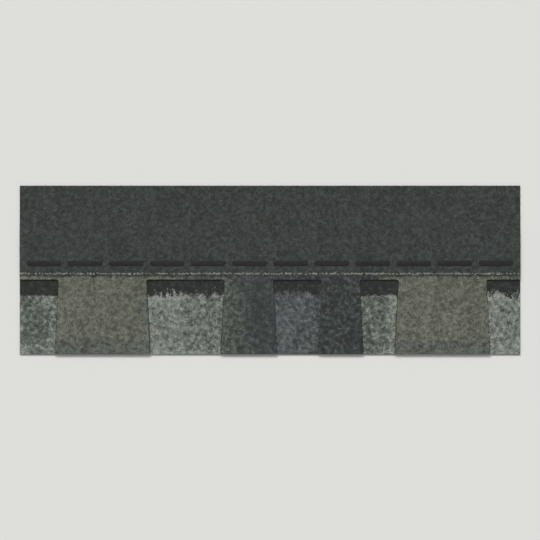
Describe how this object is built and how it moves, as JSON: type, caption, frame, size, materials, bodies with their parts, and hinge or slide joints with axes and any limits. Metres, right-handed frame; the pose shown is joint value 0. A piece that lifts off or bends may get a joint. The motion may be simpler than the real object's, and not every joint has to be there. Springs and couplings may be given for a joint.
{
  "type": "laminated asphalt shingle",
  "caption": "Laminated asphalt roof shingle lying flat: a toothed top ply over a narrower backer ply, with sealant dashes and a plain headlap.",
  "frame": {"origin": "centre of the footprint, on the floor that the shingle lies on", "axes": "+X along the eaves, +Y up the roof from the butt edge to the top edge, +Z out of the granule face"},
  "size_m": [1, 0.337, 0.006],
  "materials": {
    "asphalt_ply": "mineral granules pressed into asphalt, matt and rough",
    "asphalt_backer": "mineral granules pressed into asphalt, matt and rough, with a dark band along the tooth roots",
    "sealant": "smooth black asphalt adhesive, slightly glossy",
    "film": "thin clear polyester film, glossy"
  },
  "bodies": {
    "root": {"top_ply": "asphalt_ply", "backer_ply": "asphalt_backer", "sealant_dashes": "sealant", "release_film": "film"}
  },
  "joints": []
}
